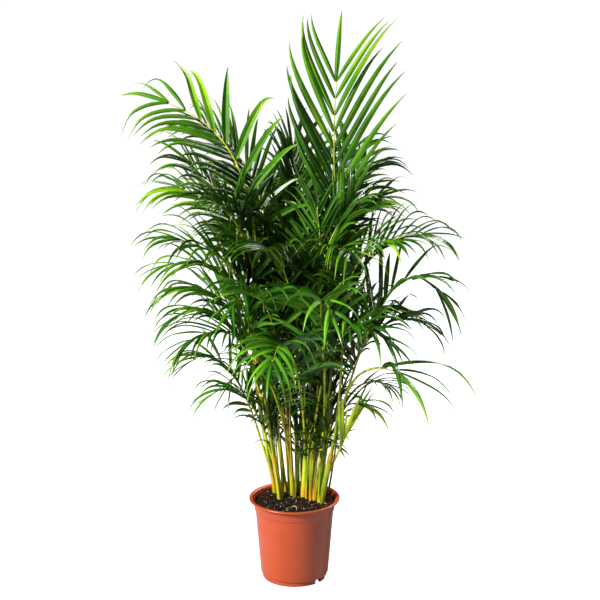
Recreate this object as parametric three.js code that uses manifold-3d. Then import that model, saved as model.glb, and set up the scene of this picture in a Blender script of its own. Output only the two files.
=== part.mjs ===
/**
 * A butterfly palm in a round plastic nursery pot.
 *
 * A clump of canes stands in plain holes in the soil. Each cane carries a few
 * leaf stalks, and each stalk ends in a feather-shaped blade: a three-sided rib
 * with narrow leaflets down both sides, every one folded to a ridge like a roof.
 *
 * Millimetres, +Z up, origin on the floor under the middle of the pot. The front is -Y.
 */
import * as THREE from 'three';
import { mergeVertices } from 'three/addons/utils/BufferGeometryUtils.js';
import Module from 'manifold-3d';

const wasm = await Module();
wasm.setup();

// ---------------------------------------------------------------- dimensions

const GAP = 0.4; // left between neighbouring solids
const WELD = 1e-4; // vertices closer than this are one

const POT_HEIGHT = 221;
const POT_SIDES = 28;
const RIM_RADIUS = 120;
const RIM_THICKNESS = 4.5;
const RIM_BEVEL = 1; // of the lip's edge: twice that on top
const COLLAR_BOTTOM = 186;
const COLLAR_RADIUS = 110; // under the rim
const COLLAR_STEP = 3; // height over which the body widens to the collar
const BODY_TOP_RADIUS = 103.5;
const BODY_FOOT_RADIUS = 89.5;
const FOOT_RADIUS = 85;
const FOOT_HEIGHT = 12;
const FOOT_WIDTH = 8;
const FOOT_CHAMFER = 3; // height over which the foot widens to the body
const WALL = 2.2;
const FLOOR_THICKNESS = 2.5;
const NOTCH_WIDTH = 20;
const NOTCH_DEPTH = 22;
const NOTCH_SHOULDER = 0.55; // where its top turns in, of its height and half width
const NOTCH_ANGLES = [-43, -12, 137, 168]; // degrees round the pot

const SOIL_HEIGHT = 212;
const SOIL_SIDES = 16;
const SOIL_RING = 0.6; // where the soil's top is cut into an inner and an outer ring
const SOIL_BUMP = 2.2;

const CANE_SIDES = 6;
const CANE_STEPS = 2;
const CANE_ROOT = 70; // length standing in the soil
const CANE_UPRIGHT = 8; // straight stretch above the soil
const CANE_HOLE_GAP = 0.6; // round a cane in the soil
const CANE_HOLE_TOP = 32; // height of the hole's tool over the soil
const CANE_TAPER = 0.8; // the top's radius, of the foot's
const CANE_LEAN = 0.003; // lean per mm of distance from the clump's middle
const CLUMP_MIDDLE = new THREE.Vector2(12, 34);

const FIRST_STALK = 0.92; // where a cane's first stalk leaves it, of the cane's path
const NEXT_STALK = 0.13; // how much lower each later stalk leaves
const STALK_RISE = 0.5; // handles of a frond's curve, of its span
const STALK_ARCH = 0.34;
const STALK_SIDES = 4;
const STALK_STEPS = 4;
const STALK_CROWDING = 1.35; // how much closer the steps are towards the blade
const STALK_RADIUS = 3.4; // at the cane
const STALK_END_RADIUS = 2.4; // where the leaflets begin
const RIB_WIDTH = 4.6;
const RIB_TIP_WIDTH = 1.8;
const RIB_EDGE = 0.6; // height of the rib's top edge, of its width

const LEAFLET_ROOT = 7.5; // length of rib that a leaflet grows from
const LEAFLET_RIDGE = 1.9; // height of the fold over the flat underside
const FIRST_LEAFLET = 16; // from the end of the stalk to the first pair
const SWEEP = [64, 24]; // degrees between leaflet and rib, at the stalk and at the tip
const LIFT = [34, 12]; // degrees that the leaflets rise out of the blade's plane
const UPRIGHT_SWEEP = [37, 27]; // the same on a frond that stands upright
const UPRIGHT_WIDTH = 0.76; // of a leaflet's width there, where it is folded closer
const UPRIGHT_FROM = 45; // slopes between which a frond passes for upright
const UPRIGHT_TO = 80;
const LEAST_SPREAD = 17; // degrees, so that no leaflet lies along its rib
const YOUNG_OPENING = 0.4; // of the sweep, for a leaf with few leaflets
const YOUNG_PAIRS = 4;
const SHORTEST = 0.5; // of the longest leaflet, where the row of leaflets would run out
const FULLNESS = [0.2, 0.92]; // the stretch of the row's half wave that the leaflets take
const UNEVEN_LENGTH = 0.06;
const UNEVEN_SWEEP = 5;
const DROOP = 0.9; // of the leaflets where the rib is level
const LEAST_DROOP = 0.08;
const END_LEAFLET = 0.56; // of the longest leaflet, for the one that the rib ends in
const END_DROOP = 0.35;
const SLENDERNESS = 0.058; // width per length of a leaflet
const LEAST_WIDTH = 1.5;
const LEAFLET_CLEARANCE = 2.6;
const RIB_CLEARANCE = 7; // kept round a rib, for the leaflets' roots
const SAMPLE_STEP = 7; // spacing of the points that stand for a leaflet or a stalk
const ROOT_SAMPLES = 2; // left out of a leaflet, where it joins the rib
const NUDGES = 80; // places tried for a stalk
const NUDGE_STEP = 7;
const GOLDEN_ANGLE = 2.4;
const SIZE_COST = 60; // degrees that losing a leaflet's whole size counts for
const DROOP_COST = 30;

/** The straight parts of a leaflet: the share of its length, and of the droop, that each has. */
const LINE_PARTS = [
  { part: 0.34, weight: 0.05 },
  { part: 0.36, weight: 0.38 },
  { part: 0.3, weight: 1.05 },
];
const WIDTH_SHARES = [0.6, 1, 0.74, 0.1]; // of the widest, at the ends of those parts

/** One cane a row: x and y at the soil, height above it, radius. */
const CANES = [
  [-53, 58, 150, 6.0],
  [-38, 16, 140, 8.0],
  [-6, 30, 155, 5.6],
  [25, 22, 130, 7.8],
  [41, 13, 175, 5.4],
  [54, -7, 200, 6.0],
  [72, -15, 165, 8.4],
  [76, 44, 75, 4.4],
  [-26, 66, 170, 6.2],
  [8, 58, 200, 6.6],
  [38, 50, 180, 6.2],
  [64, 26, 155, 6.2],
  [-6, 88, 175, 6.0],
  [30, 84, 160, 6.2],
];

/**
 * One frond a row: its cane; the tip of its rib (x, y, z); the rib's slope there, the way
 * that it faces and its roll (degrees); the length of rib with leaflets; the longest
 * leaflet; and the number of pairs.
 */
const FRONDS = [
  // the two tall tufts
  [6, 106, 60, 1317, 83, 60, -30, 400, 325, 10],
  [2, -324, 60, 1258, 20, 176, 66, 430, 218, 10],
  // the upper crown
  [10, 150, 170, 1121, 52, 50, -20, 450, 215, 10],
  [3, -6, 100, 1140, 70, 116, 10, 460, 225, 10],
  [4, 58, -60, 1014, 66, 255, 0, 400, 200, 7],
  [5, 145, -40, 1011, 52, 350, -40, 390, 200, 7],
  [9, -232, 140, 1190, 30, 160, 30, 520, 215, 11],
  [1, -259, -40, 1117, 42, 186, 44, 480, 205, 10],
  [9, -305, 100, 1036, 14, 168, 34, 480, 205, 10],
  [1, -200, -130, 1039, 34, 214, 30, 470, 195, 10],
  [11, 212, 60, 1012, 22, 6, -34, 410, 200, 9],
  [14, 188, 200, 1075, 34, 42, -16, 450, 205, 10],
  [4, -76, -260, 940, 2, 258, 0, 460, 195, 7],
  [5, 139, -220, 927, -8, 296, 0, 420, 190, 7],
  [12, 330, -40, 938, 4, 350, -24, 410, 190, 10],
  [7, 238, -180, 944, 14, 322, -14, 390, 190, 8],
  // the left side, downwards
  [1, -288, -130, 940, 14, 200, 20, 460, 205, 9],
  [9, -304, 120, 756, -16, 162, 16, 370, 190, 9],
  [2, -310, -50, 862, -12, 184, 16, 410, 190, 10],
  [2, -296, 20, 712, -26, 178, 16, 340, 190, 8],
  [3, -264, -140, 684, -28, 206, 10, 330, 185, 8],
  [1, -267, 90, 572, -26, 170, 12, 270, 180, 8],
  [2, -207, 40, 498, -28, 180, 10, 220, 165, 7],
  // the front
  [3, -149, -250, 800, -28, 240, 6, 410, 185, 8],
  [6, 86, -300, 800, -26, 288, 0, 360, 185, 8],
  [4, -52, -330, 680, -30, 260, 0, 380, 185, 8],
  [5, 222, -200, 710, -26, 316, -8, 340, 180, 8],
  [3, -157, -220, 600, -34, 234, 6, 320, 165, 7],
  // the right side, downwards
  [7, 360, -90, 800, -52, 350, -24, 390, 210, 9],
  [14, 268, 180, 690, -24, 34, -10, 300, 180, 8],
  [12, 335, 80, 676, -28, 10, -16, 300, 180, 8],
  [7, 250, -186, 620, -12, 330, 0, 50, 330, 2],
  [8, 240, -60, 550, -12, 340, -10, 90, 130, 3],
  // the young leaves low on the right
  [7, 132, -45, 406, 70, 320, 0, 50, 261, 2],
  [8, 172, -20, 486, -8, 346, -10, 54, 176, 2],
  [8, 94, 0, 372, -28, 340, 0, 36, 112, 2],
  // the back
  [13, 60, 290, 1110, 22, 82, 0, 470, 200, 8],
  [13, -128, 298, 1040, 10, 112, 0, 470, 195, 7],
  [14, 186, 280, 964, 4, 56, 0, 450, 190, 7],
  [10, -190, 290, 880, -8, 128, 0, 400, 185, 7],
  [11, 40, 312, 850, -12, 88, 0, 380, 180, 6],
  [13, -110, 300, 700, -16, 112, 0, 320, 180, 6],
  [11, 150, 290, 680, -18, 62, 0, 320, 175, 6],
  [10, -40, 290, 570, -22, 100, 0, 250, 160, 6],
];

const LEAF_COLOURS = ['#2c5a12', '#35661a', '#24500f', '#3f7419', '#2a5416'];
const CANE_COLOUR = '#8f9a24';
const POT_COLOUR = '#b54a30';
const SOIL_COLOUR = '#2a1d12';

// ------------------------------------------------------------------- helpers

const UP = new THREE.Vector3(0, 0, 1);
const radians = THREE.MathUtils.degToRad;
const mix = THREE.MathUtils.lerp;

/** A repeatable series of draws between -1 and 1. */
function seededDraws(seed) {
  let state = seed;
  return () => {
    state = (state * 1664525 + 1013904223) % 4294967296;
    return (state / 4294967296) * 2 - 1;
  };
}

/** Merges a geometry's shared vertices and drops the triangles that collapse. */
function weld(geometry) {
  const bare = new THREE.BufferGeometry();
  bare.setAttribute('position', geometry.attributes.position);
  bare.setIndex(geometry.index);
  const merged = mergeVertices(bare, WELD);
  const corners = merged.index.array;
  const kept = [];
  for (let i = 0; i < corners.length; i += 3) {
    const [a, b, c] = [corners[i], corners[i + 1], corners[i + 2]];
    if (a !== b && b !== c && c !== a) kept.push(a, b, c);
  }
  merged.setIndex(kept);
  return merged;
}

function toSolid(geometry) {
  const welded = weld(geometry);
  return new wasm.Manifold(new wasm.Mesh({
    numProp: 3,
    vertProperties: welded.attributes.position.array,
    triVerts: Uint32Array.from(welded.index.array),
  }));
}

function fromSolid(solid) {
  const { vertProperties, triVerts } = solid.getMesh();
  const geometry = new THREE.BufferGeometry();
  geometry.setAttribute('position', new THREE.BufferAttribute(vertProperties, 3));
  geometry.setIndex(new THREE.BufferAttribute(triVerts, 1));
  return geometry;
}

function namedMesh(name, geometry, color, roughness) {
  geometry.computeVertexNormals();
  const finish = { color, roughness, metalness: 0, flatShading: true };
  const material = new THREE.MeshStandardMaterial(finish);
  const mesh = new THREE.Mesh(geometry, material);
  mesh.name = name;
  return mesh;
}

/** Turns a profile of [radius, height] points round the Z axis. */
function turned(profile, sides) {
  const points = profile.map(([radius, height]) => new THREE.Vector2(radius, height));
  return new THREE.LatheGeometry(points, sides).rotateX(Math.PI / 2);
}

/** The right-hand side and the upper side of a path that runs along a direction. */
function frameAlong(direction, sideways) {
  const side = sideways.clone().addScaledVector(direction, -sideways.dot(direction)).normalize();
  const up = side.clone().cross(direction);
  return { side, up };
}

/** A closed tapering rod: a cylinder bent so that its length follows a path. */
function bentRod(path, startRadius, endRadius, sides, steps, sideways) {
  const rod = new THREE.CylinderGeometry(endRadius, startRadius, 1, sides, steps);
  const position = rod.attributes.position;
  for (let i = 0; i < position.count; i += 1) {
    const { point, direction } = path(position.getY(i) + 0.5);
    const { side, up } = frameAlong(direction, sideways);
    point.addScaledVector(side, position.getX(i)).addScaledVector(up, position.getZ(i));
    position.setXYZ(i, point.x, point.y, point.z);
  }
  return rod;
}

// ----------------------------------------------------------------------- pot

/** The inner wall's radius at a height, which the soil follows with a gap. */
function innerRadius(height) {
  const t = (height - FOOT_HEIGHT) / (COLLAR_BOTTOM - FOOT_HEIGHT);
  const body = mix(BODY_FOOT_RADIUS, BODY_TOP_RADIUS, Math.min(t, 1)) - WALL;
  const above = Math.max(height - COLLAR_BOTTOM, 0) / (POT_HEIGHT - RIM_THICKNESS - COLLAR_BOTTOM);
  return mix(body, COLLAR_RADIUS - WALL, above);
}

function notchTool(angle) {
  const arch = new THREE.Shape();
  const half = NOTCH_WIDTH / 2;
  const shoulder = FOOT_HEIGHT * NOTCH_SHOULDER;
  arch.moveTo(-half, -1);
  arch.lineTo(half, -1);
  arch.lineTo(half, shoulder);
  arch.lineTo(half * NOTCH_SHOULDER, FOOT_HEIGHT);
  arch.lineTo(-half * NOTCH_SHOULDER, FOOT_HEIGHT);
  arch.lineTo(-half, shoulder);
  const tool = new THREE.ExtrudeGeometry(arch, { depth: NOTCH_DEPTH, bevelEnabled: false });
  tool.rotateX(Math.PI / 2);
  tool.translate(0, FOOT_RADIUS + NOTCH_DEPTH / 3, 0);
  return toSolid(tool.rotateZ(radians(angle - 90)));
}

function makePot() {
  const floorTop = FOOT_HEIGHT;
  const rimUnder = POT_HEIGHT - RIM_THICKNESS;
  const collarFoot = BODY_TOP_RADIUS + WALL;
  const profile = [
    [0, floorTop - FLOOR_THICKNESS],
    [FOOT_RADIUS - FOOT_WIDTH, floorTop - FLOOR_THICKNESS],
    [FOOT_RADIUS - FOOT_WIDTH, 0],
    [FOOT_RADIUS, 0],
    [FOOT_RADIUS, FOOT_HEIGHT],
    [BODY_FOOT_RADIUS, FOOT_HEIGHT + FOOT_CHAMFER],
    [BODY_TOP_RADIUS, COLLAR_BOTTOM],
    [collarFoot, COLLAR_BOTTOM + COLLAR_STEP],
    [COLLAR_RADIUS, rimUnder],
    [RIM_RADIUS - RIM_BEVEL, rimUnder],
    [RIM_RADIUS, POT_HEIGHT - RIM_THICKNESS / 2],
    [RIM_RADIUS - 2 * RIM_BEVEL, POT_HEIGHT],
    [COLLAR_RADIUS + 2 * RIM_BEVEL, POT_HEIGHT],
    [innerRadius(rimUnder), rimUnder],
    [innerRadius(COLLAR_BOTTOM), COLLAR_BOTTOM],
    [innerRadius(floorTop), floorTop],
    [0, floorTop],
  ];
  let pot = toSolid(turned(profile, POT_SIDES));
  for (const angle of NOTCH_ANGLES) pot = pot.subtract(notchTool(angle));
  return namedMesh('pot', fromSolid(pot), POT_COLOUR, 0.45);
}

// ---------------------------------------------------------------------- soil

/** The unevenness of the soil's top, as a height over its mean. */
function soilBump(x, y) {
  return SOIL_BUMP * (Math.sin(x / 13 + 1) * Math.cos(y / 11) + 0.6 * Math.sin((x - y) / 8));
}

function makeSoil() {
  const low = FOOT_HEIGHT + GAP;
  const outer = (height) => innerRadius(height) - 2 * GAP;
  const shoulder = SOIL_HEIGHT - 2 * SOIL_BUMP;
  const profile = [
    [0, low],
    [outer(low), low],
    [outer(COLLAR_BOTTOM), COLLAR_BOTTOM],
    [outer(shoulder), shoulder],
    [SOIL_RING * outer(SOIL_HEIGHT), SOIL_HEIGHT],
    [0, SOIL_HEIGHT],
  ];
  const geometry = turned(profile, SOIL_SIDES);
  const position = geometry.attributes.position;
  for (let i = 0; i < position.count; i += 1) {
    const onTop = position.getZ(i) > SOIL_HEIGHT - 1;
    if (onTop) position.setZ(i, SOIL_HEIGHT + soilBump(position.getX(i), position.getY(i)));
  }
  let soil = toSolid(geometry);
  for (const cane of CANES) soil = soil.subtract(caneHole(cane));
  return namedMesh('soil', fromSolid(soil), SOIL_COLOUR, 0.95);
}

// --------------------------------------------------------------------- canes

const SIDEWAYS = new THREE.Vector3(1, 0, 0);

/** A cane's path from its root (0) to its top (1): upright, then leaning outward. */
function canePath([x, y, height]) {
  const foot = new THREE.Vector3(x, y, SOIL_HEIGHT + CANE_UPRIGHT);
  const outward = new THREE.Vector3(x - CLUMP_MIDDLE.x, y - CLUMP_MIDDLE.y, 0);
  const top = foot.clone().addScaledVector(UP, height);
  top.addScaledVector(outward, CANE_LEAN * height);
  const bend = 1 / CANE_STEPS;
  return (t) => {
    const rising = Math.max(t - bend, 0) / (1 - bend);
    const buried = Math.max(bend - t, 0) / bend;
    const point = foot.clone().lerp(top, rising);
    point.z -= buried * (CANE_ROOT + CANE_UPRIGHT);
    const direction = t > bend ? top.clone().sub(foot).normalize() : UP.clone();
    return { point, direction };
  };
}

function caneHole([x, y, , radius]) {
  const bottom = SOIL_HEIGHT - CANE_ROOT - GAP;
  const length = SOIL_HEIGHT + CANE_HOLE_TOP - bottom;
  const wide = radius + CANE_HOLE_GAP;
  const hole = new THREE.CylinderGeometry(wide, wide, length, CANE_SIDES);
  hole.rotateX(Math.PI / 2);
  return toSolid(hole.translate(x, y, bottom + length / 2));
}

// -------------------------------------------------------------------- fronds

/** Everything that a frond's stalk, rib and leaflets are placed by. */
function readFrond([cane, x, y, z, slope, facing, roll, blade, leaflet, pairs], index) {
  return {
    index, cane: cane - 1, tip: new THREE.Vector3(x, y, z), slope: radians(slope),
    facing: radians(facing), roll: radians(roll), blade, leaflet, pairs,
  };
}

/** A frond's whole curve, from inside its cane to the tip of its rib. */
function frondCurve(frond, order, nudge) {
  const cane = canePath(CANES[frond.cane]);
  const { point: root, direction } = cane(FIRST_STALK - NEXT_STALK * order);
  const span = frond.tip.distanceTo(root);
  const ahead = new THREE.Vector3(Math.cos(frond.facing), Math.sin(frond.facing), 0);
  const ending = ahead.clone().multiplyScalar(Math.cos(frond.slope));
  ending.addScaledVector(UP, Math.sin(frond.slope));
  const rise = root.clone().addScaledVector(direction, STALK_RISE * span).add(nudge);
  const arch = frond.tip.clone().addScaledVector(ending, -STALK_ARCH * span).add(nudge);
  const curve = new THREE.CubicBezierCurve3(root, rise, arch, frond.tip);
  curve.arcLengthDivisions = 60;
  return { curve, sideways: ahead.cross(UP) };
}

// Points that stand for what is already placed, in cells that are searched for neighbours.

const CELL = 24;
const placed = new Map();

const cellKey = (i, j, k) => `${i},${j},${k}`;

function place(samples) {
  for (const sample of samples) {
    const { x, y, z } = sample.point;
    const key = cellKey(Math.floor(x / CELL), Math.floor(y / CELL), Math.floor(z / CELL));
    if (!placed.has(key)) placed.set(key, []);
    placed.get(key).push(sample);
  }
}

function touches(sample, ignore) {
  const [i, j, k] = sample.point.toArray().map((value) => Math.floor(value / CELL));
  for (let a = i - 1; a <= i + 1; a += 1) {
    for (let b = j - 1; b <= j + 1; b += 1) {
      for (let c = k - 1; c <= k + 1; c += 1) {
        for (const other of placed.get(cellKey(a, b, c)) ?? []) {
          const reach = sample.radius + other.radius + LEAFLET_CLEARANCE;
          if (!ignore(other) && sample.point.distanceTo(other.point) < reach) return true;
        }
      }
    }
  }
  return false;
}

/** Samples along the straight pieces between some points, thinning as radiusAt says. */
function samplesAlong(points, radiusAt, tags) {
  const samples = [];
  for (let i = 0; i + 1 < points.length; i += 1) {
    const count = Math.ceil(points[i].distanceTo(points[i + 1]) / SAMPLE_STEP);
    for (let j = 0; j < count; j += 1) {
      const point = points[i].clone().lerp(points[i + 1], j / count);
      samples.push({ point, radius: radiusAt(i, j / count), ...tags });
    }
  }
  return samples;
}

/** A stalk's path from inside its cane (0) to the blade (1), with more of it where it bends. */
function stalkPath(frond) {
  const end = frond.bladeStart - GAP / frond.curve.getLength();
  return (t) => {
    const u = end * (1 - (1 - t) ** STALK_CROWDING);
    return { point: frond.curve.getPointAt(u), direction: frond.curve.getTangentAt(u) };
  };
}

const evenly = (count, at) => Array.from({ length: count + 1 }, (_, i) => at(i / count));

/** Gives a frond its curve, moved aside in growing circles until it is clear. */
function settleCurve(frond, order) {
  const tags = { frond: frond.index, cane: frond.cane };
  const sameCane = (other) => other.cane === frond.cane && other.kind !== 'rib';
  for (let i = 0; i < NUDGES; i += 1) {
    const turn = i * GOLDEN_ANGLE;
    const out = NUDGE_STEP * Math.sqrt(i);
    const nudge = new THREE.Vector3(Math.cos(turn) * out, Math.sin(turn) * out, 0);
    Object.assign(frond, frondCurve(frond, order, nudge));
    frond.bladeStart = 1 - frond.blade / frond.curve.getLength();
    const stalkPoints = evenly(STALK_STEPS, (t) => stalkPath(frond)(t).point);
    const ribPoint = (t) => frond.curve.getPointAt(mix(frond.bladeStart, 1, t));
    const ribPoints = evenly(frond.pairs, ribPoint);
    const stalk = samplesAlong(stalkPoints, () => STALK_RADIUS, { ...tags, kind: 'stalk' });
    const rib = samplesAlong(ribPoints, () => RIB_CLEARANCE, { ...tags, kind: 'rib' });
    const stalkClear = !stalk.some((sample) => touches(sample, sameCane));
    const clear = stalkClear && !rib.some((sample) => touches(sample, () => false));
    if (clear || i === NUDGES - 1) {
      place([...stalk, ...rib]);
      return clear;
    }
  }
  return false;
}

/** The point, direction, right side and upper side of a rib at a distance along it. */
function ribFrame(frond, distance) {
  const u = frond.bladeStart + (1 - frond.bladeStart) * (distance / frond.blade);
  const direction = frond.curve.getTangentAt(u);
  const { side, up } = frameAlong(direction, frond.sideways);
  side.applyAxisAngle(direction, -frond.roll);
  up.applyAxisAngle(direction, -frond.roll);
  return { point: frond.curve.getPointAt(u), direction, side, up };
}

/** The rib's two lower corners and its top edge at a distance along it. */
function ribSection(frond, distance) {
  const { point, side, up } = ribFrame(frond, distance);
  const width = mix(RIB_WIDTH, RIB_TIP_WIDTH, distance / frond.blade);
  return {
    left: point.clone().addScaledVector(side, -width / 2),
    right: point.clone().addScaledVector(side, width / 2),
    top: point.clone().addScaledVector(up, RIB_EDGE * width + GAP),
  };
}

/** How upright a frond stands, from 0 to 1. */
function uprightness(frond) {
  return THREE.MathUtils.smoothstep(frond.slope, radians(UPRIGHT_FROM), radians(UPRIGHT_TO));
}

/** How far a leaflet spreads from its rib: less on a young or an upright frond. */
function spreadAt(frond, along) {
  if (frond.pairs < YOUNG_PAIRS) return YOUNG_OPENING * mix(...SWEEP, along);
  return mix(mix(...SWEEP, along), mix(...UPRIGHT_SWEEP, along), uprightness(frond));
}

/** A leaflet's size, of the frond's longest, at a place along the row of leaflets. */
function fullnessAt(along) {
  return SHORTEST + (1 - SHORTEST) * Math.sin(Math.PI * mix(...FULLNESS, along));
}

/**
 * A leaflet's middle line: from the rib, sweeping forward and up, then bending down
 * towards its tip. The bend in hand moves it clear of its neighbours.
 */
function leafletLine(frond, station, sideSign, bend) {
  const { along, distance, sizeDraw, angleDraw } = station;
  const { point, direction, side, up } = ribFrame(frond, distance);
  const spread = spreadAt(frond, along) + UNEVEN_SWEEP * angleDraw + bend.swing;
  const sweep = radians(Math.max(spread, LEAST_SPREAD));
  const lift = radians(mix(...LIFT, along) + bend.lift);
  const out = side.clone().multiplyScalar(sideSign * Math.cos(lift));
  out.addScaledVector(up, Math.sin(lift));
  const start = direction.clone().multiplyScalar(Math.cos(sweep));
  start.addScaledVector(out, Math.sin(sweep));
  const uneven = 1 + UNEVEN_LENGTH * sizeDraw;
  const length = frond.leaflet * fullnessAt(along) * uneven * bend.size;
  const level = 1 - Math.max(direction.z, 0) ** 2;
  const droop = DROOP * level + LEAST_DROOP + bend.droop;
  const line = [point.clone()];
  const directions = [];
  LINE_PARTS.forEach(({ part, weight }) => {
    const heading = start.clone().addScaledVector(UP, -droop * weight).normalize();
    directions.push(heading);
    line.push(line[line.length - 1].clone().addScaledVector(heading, part * length));
  });
  const width = widthOf(length) * mix(1, UPRIGHT_WIDTH, uprightness(frond));
  return { line, directions, width, along: direction, up };
}

const widthOf = (length) => SLENDERNESS * length + LEAST_WIDTH;

function leafletSamples(frond, { line, width }) {
  const radiusAt = (i, t) => (mix(WIDTH_SHARES[i], WIDTH_SHARES[i + 1], t) * width) / 2;
  const tags = { kind: 'leaflet', frond: frond.index, cane: frond.cane };
  return samplesAlong(line, radiusAt, tags).slice(ROOT_SAMPLES);
}

/** How much a bend changes a leaflet, counted in degrees. */
function changeOf({ size, swing, lift, droop }) {
  const turn = Math.abs(swing) + Math.abs(lift);
  return turn + SIZE_COST * (1 - size) + DROOP_COST * Math.abs(droop);
}

/** Ways to bend a leaflet clear, the smallest change first. */
const BENDS = [];
for (const size of [1, 0.85, 0.7]) {
  for (const swing of [0, -9, 9, -18, 18, -27, 27]) {
    for (const lift of [0, 12, -12, 24, -24, 36]) {
      for (const droop of [0, 0.3, -0.3]) BENDS.push({ size, swing, lift, droop });
    }
  }
}
BENDS.sort((a, b) => changeOf(a) - changeOf(b));

function settleLeaflet(frond, station, sideSign) {
  const ownRib = (other) => other.frond === frond.index && other.kind === 'rib';
  for (const bend of BENDS) {
    const leaflet = leafletLine(frond, station, sideSign, bend);
    const samples = leafletSamples(frond, leaflet);
    if (!samples.some((sample) => touches(sample, ownRib))) {
      place(samples);
      return leaflet;
    }
  }
  return null;
}

function settleLeaflets(frond) {
  const draw = seededDraws(frond.index + 17);
  const last = frond.blade - LEAFLET_ROOT;
  frond.stations = Array.from({ length: frond.pairs }, (_, i) => {
    const along = i / (frond.pairs - 1);
    const station = { along, distance: mix(FIRST_LEAFLET, last, along) };
    station.sizeDraw = draw();
    station.angleDraw = draw();
    station.left = settleLeaflet(frond, station, -1);
    station.right = settleLeaflet(frond, station, 1);
    return station;
  });
}

// ------------------------------------------------------------- blade surface

/** Collects triangles by their corner points. */
function triangleList() {
  const points = [];
  const add = (...corners) => corners.forEach((corner) => points.push(corner));
  const toGeometry = (origin) => {
    const flat = points.flatMap((p) => [p.x - origin.x, p.y - origin.y, p.z - origin.z]);
    const geometry = new THREE.BufferGeometry();
    geometry.setAttribute('position', new THREE.Float32BufferAttribute(flat, 3));
    return weld(geometry);
  };
  return { add, toGeometry };
}

/**
 * Joins a ring of [edge, ridge, edge] to the next. The flat underside and the two
 * slopes over it are split alike at each edge, so that they can't cross.
 */
function addBand(list, from, to) {
  const [edgeA, ridge, edgeB] = from;
  const [nextA, nextRidge, nextB] = to;
  list.add(edgeA, ridge, nextRidge, edgeA, nextRidge, nextA);
  list.add(ridge, edgeB, nextB, ridge, nextB, nextRidge);
  list.add(edgeB, edgeA, nextB, edgeA, nextA, nextB);
}

/** The rings of a leaflet after its root, each [edge, ridge, edge], and its tip. */
function leafletRings(leaflet, reversed) {
  const { line, directions, width, along, up } = leaflet;
  const rings = [1, 2].map((i) => {
    const heading = directions[i - 1].clone().add(directions[i]).normalize();
    const across = along.clone().addScaledVector(heading, -along.dot(heading)).normalize();
    const over = across.clone().cross(heading);
    if (over.dot(up) < 0) over.negate();
    const half = (WIDTH_SHARES[i] * width) / 2;
    const ring = [
      line[i].clone().addScaledVector(across, -half),
      line[i].clone().addScaledVector(over, LEAFLET_RIDGE),
      line[i].clone().addScaledVector(across, half),
    ];
    return reversed ? ring.reverse() : ring;
  });
  return { rings, tip: line[3] };
}

/** Draws a leaflet out of its root ring, or closes the ring where none grows. */
function addLeaflet(list, root, leaflet, reversed) {
  if (!leaflet) {
    list.add(...root);
    return;
  }
  const { rings, tip } = leafletRings(leaflet, reversed);
  addBand(list, root, rings[0]);
  addBand(list, rings[0], rings[1]);
  const [edgeA, ridge, edgeB] = rings[1];
  list.add(edgeA, ridge, tip, ridge, edgeB, tip, edgeB, edgeA, tip);
}

/** The leaflet that the rib ends in. */
function endLeaflet(frond) {
  const { point, direction, side, up } = ribFrame(frond, frond.blade);
  const length = END_LEAFLET * frond.leaflet;
  const line = [point];
  const directions = LINE_PARTS.map(({ part, weight }) => {
    const heading = direction.clone().addScaledVector(UP, -END_DROOP * weight).normalize();
    line.push(line[line.length - 1].clone().addScaledVector(heading, part * length));
    return heading;
  });
  return { line, directions, width: widthOf(length), along: side, up };
}

function bladeGeometry(frond) {
  const list = triangleList();
  const half = LEAFLET_ROOT / 2;
  let { left, right, top } = ribSection(frond, 0);
  list.add(left, right, top);
  for (const station of frond.stations) {
    const before = ribSection(frond, station.distance - half);
    const after = ribSection(frond, station.distance + half);
    const ridge = ribSection(frond, station.distance).top;
    list.add(left, top, ridge, left, ridge, before.left);
    list.add(right, ridge, top, right, before.right, ridge);
    list.add(left, before.left, before.right, left, before.right, right);
    list.add(before.left, after.left, after.right, before.left, after.right, before.right);
    addLeaflet(list, [before.left, ridge, after.left], station.left, false);
    addLeaflet(list, [after.right, ridge, before.right], station.right, true);
    ({ left, right } = after);
    top = ridge;
  }
  addLeaflet(list, [left, top, right], frond.end, false);
  return list.toGeometry(frond.start);
}

function makeBlade(frond) {
  frond.start = ribSection(frond, 0).left;
  const color = LEAF_COLOURS[frond.index % LEAF_COLOURS.length];
  const name = `frond_${String(frond.index + 1).padStart(2, '0')}`;
  const mesh = namedMesh(name, bladeGeometry(frond), color, 0.4);
  mesh.position.copy(frond.start);
  return mesh;
}

/** A cane and its leaf stalks, grown together. */
function makeCane(cane, index, fronds) {
  const [, , , radius] = cane;
  const path = canePath(cane);
  const topRadius = CANE_TAPER * radius;
  let solid = toSolid(bentRod(path, radius, topRadius, CANE_SIDES, CANE_STEPS, SIDEWAYS));
  const radii = [STALK_RADIUS, STALK_END_RADIUS];
  for (const frond of fronds.filter((each) => each.cane === index)) {
    const { sideways } = frond;
    const rod = bentRod(stalkPath(frond), ...radii, STALK_SIDES, STALK_STEPS, sideways);
    solid = solid.add(toSolid(rod));
  }
  const name = `cane_${String(index + 1).padStart(2, '0')}`;
  return namedMesh(name, fromSolid(solid), CANE_COLOUR, 0.5);
}

// ------------------------------------------------------------------ assembly

function placeCanes() {
  CANES.forEach((cane, index) => {
    const points = evenly(CANE_STEPS, (t) => canePath(cane)(t).point);
    place(samplesAlong(points, () => cane[3], { kind: 'cane', frond: -1, cane: index }));
  });
}

function makeFronds() {
  const fronds = FRONDS.map(readFrond);
  const orders = CANES.map(() => 0);
  for (const frond of fronds) {
    settleCurve(frond, orders[frond.cane]);
    orders[frond.cane] += 1;
  }
  fronds.forEach((frond) => { frond.end = endLeaflet(frond); });
  fronds.forEach((frond) => place(leafletSamples(frond, frond.end)));
  fronds.forEach(settleLeaflets);
  return fronds;
}

placeCanes();
const fronds = makeFronds();
const palm = new THREE.Group();
palm.add(makePot(), makeSoil());
palm.add(...CANES.map((cane, index) => makeCane(cane, index, fronds)));
palm.add(...fronds.map(makeBlade));

export default palm;
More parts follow.
